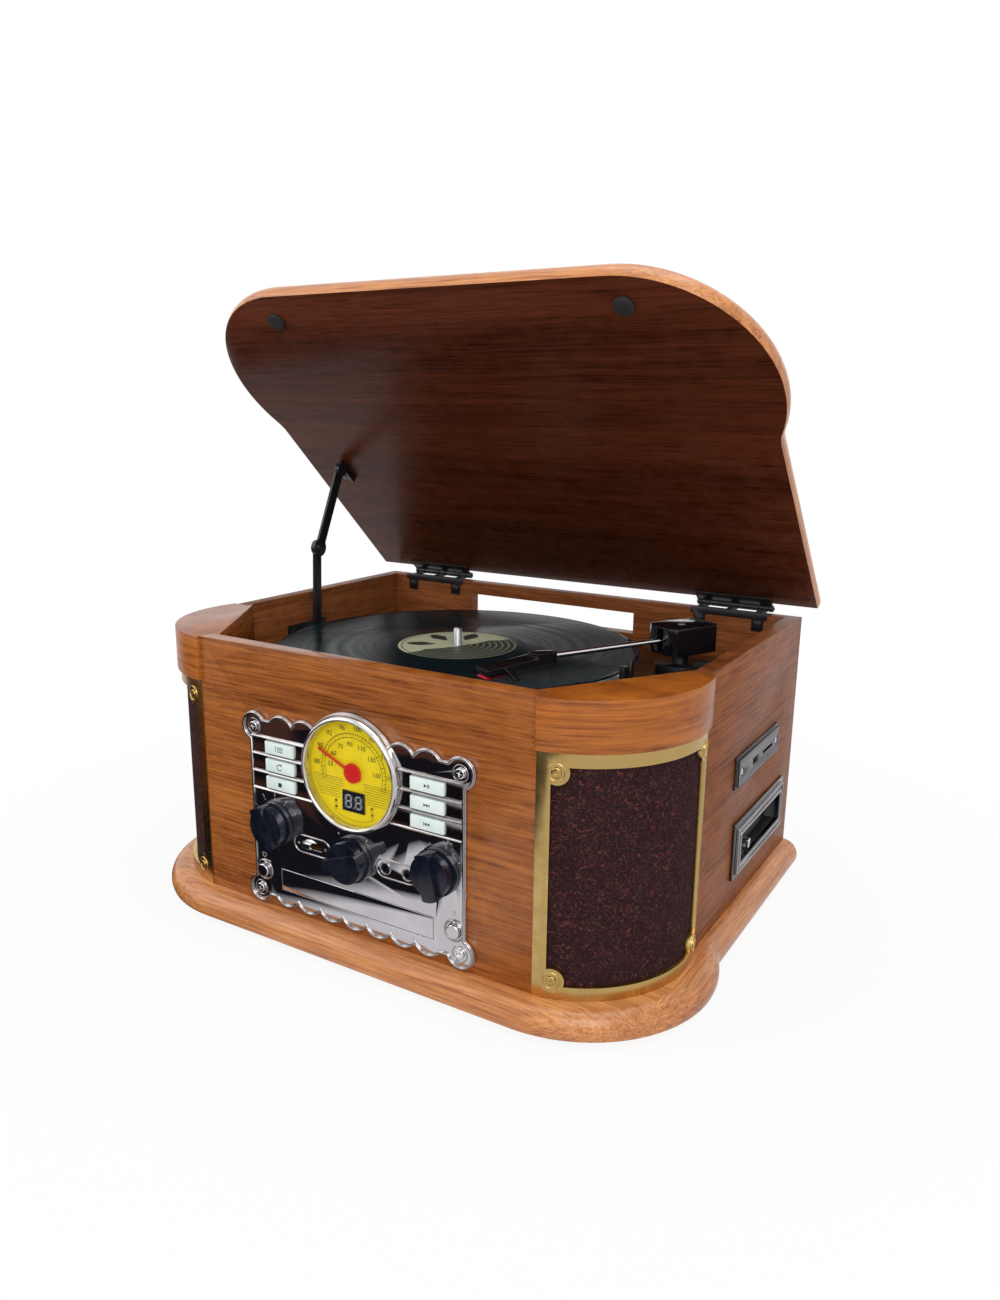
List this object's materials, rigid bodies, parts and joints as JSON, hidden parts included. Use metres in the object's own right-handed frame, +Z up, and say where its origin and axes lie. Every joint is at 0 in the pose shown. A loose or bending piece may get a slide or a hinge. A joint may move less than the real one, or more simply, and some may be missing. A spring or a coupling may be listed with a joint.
{
  "type": "stereo music centre",
  "caption": "Wooden-cased record player and radio with a hinged lid on a stay, curved corner grilles, a dial in a scalloped front plate, a CD tray and a side cassette slot.",
  "frame": {"origin": "centre of the case's plan, on the surface that the feet stand on", "axes": "+X to the right seen from the front, -Y to the front, +Z up; the lid is open"},
  "size_m": [0.476, 0.3649, 0.4818],
  "materials": {
    "wood": "satin varnish, horizontal grain",
    "wood_trim": "satin varnish, lighter",
    "board": "bare board",
    "rubber": "matte",
    "black_plastic": "fine texture",
    "black_gloss": "polished",
    "circuit_board": "circuit board",
    "speaker_black": "black",
    "brass": "aged",
    "grille_cloth": "woven",
    "bright_metal": "polished",
    "motor_steel": "plain",
    "platter_alloy": "turned",
    "vinyl": "grooved",
    "stylus_red": "polished",
    "black_iron": "black enamel",
    "plated_front": "mirror",
    "dial_yellow": "printed",
    "clear_lens": "clear",
    "pointer_red": "painted",
    "mint_plastic": "moulded"
  },
  "bodies": {
    "case": {"plinth": "wood", "feet": "rubber", "front_panel": "wood", "side_panels": "wood", "rear_panel": "wood", "rear_cover": "black_plastic", "corner_caps": "wood_trim", "speaker_baffles": "board", "speakers": "speaker_black", "grille_frames": "brass", "grille_cloths": "grille_cloth", "case_screws": "brass", "deck_plate": "black_gloss", "spindle": "bright_metal", "drive_belt": "rubber", "turntable_motor": "motor_steel", "tonearm_base": "black_plastic", "body_hinge_leaves": "black_iron", "stay_base_bracket": "black_iron", "faceplate": "plated_front", "dial_bezel": "plated_front", "dial_face": "dial_yellow", "dial_lens": "clear_lens", "electronics": "circuit_board", "cd_mechanism": "black_plastic", "cassette_bezel": "plated_front", "cassette_mechanism": "black_plastic", "usb_plate": "plated_front"},
    "lid": {"lid": "wood", "lid_bumpers": "rubber", "lid_hinge_leaves": "black_iron", "stay_lid_bracket": "black_iron"},
    "stay_lower": {"stay_lower_arm": "black_iron"},
    "stay_upper": {"stay_upper_arm": "black_iron"},
    "turntable": {"platter": "platter_alloy", "platter_mat": "rubber", "vinyl_record": "vinyl"},
    "pulley": {"motor_pulley": "brass"},
    "arm_housing": {"tonearm_housing": "black_plastic"},
    "tonearm": {"tonearm_tube": "bright_metal", "headshell": "black_plastic", "stylus": "stylus_red"},
    "cue_lever": {"cue_lever": "black_plastic"},
    "speed_switch": {"speed_switch": "bright_metal"},
    "function_knob": {"function_knob": "black_gloss"},
    "tuning_knob": {"tuning_knob": "black_gloss"},
    "dial_pointer": {"dial_pointer": "pointer_red"},
    "volume_knob": {"volume_knob": "black_gloss"},
    "band_switch": {"band_switch": "bright_metal"},
    "cd_tray": {"cd_tray": "black_plastic"},
    "cassette_flap": {"cassette_flap": "black_plastic"},
    "cassette_button": {"cassette_button": "plated_front"},
    "program_button": {"program_button": "mint_plastic"},
    "repeat_button": {"repeat_button": "mint_plastic"},
    "stop_button": {"stop_button": "mint_plastic"},
    "play_button": {"play_button": "mint_plastic"},
    "next_button": {"next_button": "mint_plastic"},
    "previous_button": {"previous_button": "mint_plastic"},
    "power_button": {"power_button": "plated_front"},
    "open_close_button": {"open_close_button": "plated_front"}
  },
  "joints": [
    {"name": "lid_hinge", "type": "hinge", "parent": "case", "child": "lid", "pos_m": [0, 0.172, 0.228], "axis": [-1, 0, 0], "range_deg": [-43.5, 0]},
    {"name": "stay_lower_pivot", "type": "hinge", "parent": "case", "child": "stay_lower", "pos_m": [-0.19035, 0.0145, 0.191], "axis": [-1, 0, 0], "range_deg": [-92.7, 0]},
    {"name": "stay_upper_pivot", "type": "hinge", "parent": "lid", "child": "stay_upper", "pos_m": [-0.18745, 0.04872, 0.33706], "axis": [-1, 0, 0], "range_deg": [0, 88.7]},
    {"name": "platter_spin", "type": "hinge", "parent": "case", "child": "turntable", "pos_m": [-0.024, 0, 0.193], "axis": [0, 0, -1], "continuous": true},
    {"name": "pulley_spin", "type": "hinge", "parent": "case", "child": "pulley", "pos_m": [-0.099, 0, 0.178], "axis": [0, 0, -1], "continuous": true},
    {"name": "arm_swing", "type": "hinge", "parent": "case", "child": "arm_housing", "pos_m": [0.138, 0.088, 0.193], "axis": [0, 0, 1], "range_deg": [-16.6, 25.3]},
    {"name": "arm_lift", "type": "hinge", "parent": "arm_housing", "child": "tonearm", "pos_m": [0.138, 0.088, 0.212], "axis": [-0.8886, 0.4587, 0], "range_deg": [0, 10]},
    {"name": "cue_lever_turn", "type": "hinge", "parent": "case", "child": "cue_lever", "pos_m": [0.172, 0.088, 0.19], "axis": [-1, 0, 0], "range_deg": [0, 40]},
    {"name": "speed_slide", "type": "slide", "parent": "case", "child": "speed_switch", "axis": [0, 1, 0], "range_m": [0, 0.01]},
    {"name": "function_turn", "type": "hinge", "parent": "case", "child": "function_knob", "pos_m": [-0.073, -0.16, 0.0925], "axis": [0, 1, 0], "range_deg": [-60, 60]},
    {"name": "tuning_turn", "type": "hinge", "parent": "case", "child": "tuning_knob", "pos_m": [0, -0.16, 0.0825], "axis": [0, 1, 0], "range_deg": [-98, 362]},
    {"name": "pointer_turn", "type": "hinge", "parent": "case", "child": "dial_pointer", "pos_m": [0, -0.165, 0.146], "axis": [0, 1, 0], "range_deg": [-49.5, 181.5]},
    {"name": "volume_turn", "type": "hinge", "parent": "case", "child": "volume_knob", "pos_m": [0.073, -0.16, 0.0925], "axis": [0, 1, 0], "range_deg": [-140, 140]},
    {"name": "band_slide", "type": "slide", "parent": "case", "child": "band_switch", "axis": [1, 0, 0], "range_m": [0, 0.008]},
    {"name": "program_press", "type": "slide", "parent": "case", "child": "program_button", "axis": [0, 1, 0], "range_m": [0, 0.0015], "stiffness_N_per_m": 500, "springref_m": -0.001},
    {"name": "repeat_press", "type": "slide", "parent": "case", "child": "repeat_button", "axis": [0, 1, 0], "range_m": [0, 0.0015], "stiffness_N_per_m": 500, "springref_m": -0.001},
    {"name": "stop_press", "type": "slide", "parent": "case", "child": "stop_button", "axis": [0, 1, 0], "range_m": [0, 0.0015], "stiffness_N_per_m": 500, "springref_m": -0.001},
    {"name": "play_press", "type": "slide", "parent": "case", "child": "play_button", "axis": [0, 1, 0], "range_m": [0, 0.0015], "stiffness_N_per_m": 500, "springref_m": -0.001},
    {"name": "next_press", "type": "slide", "parent": "case", "child": "next_button", "axis": [0, 1, 0], "range_m": [0, 0.0015], "stiffness_N_per_m": 500, "springref_m": -0.001},
    {"name": "previous_press", "type": "slide", "parent": "case", "child": "previous_button", "axis": [0, 1, 0], "range_m": [0, 0.0015], "stiffness_N_per_m": 500, "springref_m": -0.001},
    {"name": "power_press", "type": "slide", "parent": "case", "child": "power_button", "axis": [0, 1, 0], "range_m": [0, 0.0015], "stiffness_N_per_m": 500, "springref_m": -0.001},
    {"name": "open_close_press", "type": "slide", "parent": "case", "child": "open_close_button", "axis": [0, 1, 0], "range_m": [0, 0.0015], "stiffness_N_per_m": 500, "springref_m": -0.001},
    {"name": "tray_slide", "type": "slide", "parent": "case", "child": "cd_tray", "axis": [0, -1, 0], "range_m": [0, 0.12]},
    {"name": "flap_turn", "type": "hinge", "parent": "case", "child": "cassette_flap", "pos_m": [0.209, 0.076, 0.0794], "axis": [0, 1, 0], "range_deg": [0, 70]},
    {"name": "eject_press", "type": "slide", "parent": "case", "child": "cassette_button", "axis": [-1, 0, 0], "range_m": [0, 0.003], "stiffness_N_per_m": 500, "springref_m": -0.001}
  ],
  "couplings": [
    {"joint": "stay_lower_pivot", "follows": "lid_hinge", "ratio": 2.0857},
    {"joint": "stay_upper_pivot", "follows": "lid_hinge", "ratio": -1.9932},
    {"joint": "pulley_spin", "follows": "platter_spin", "ratio": 7},
    {"joint": "pointer_turn", "follows": "tuning_turn", "ratio": 0.5}
  ]
}
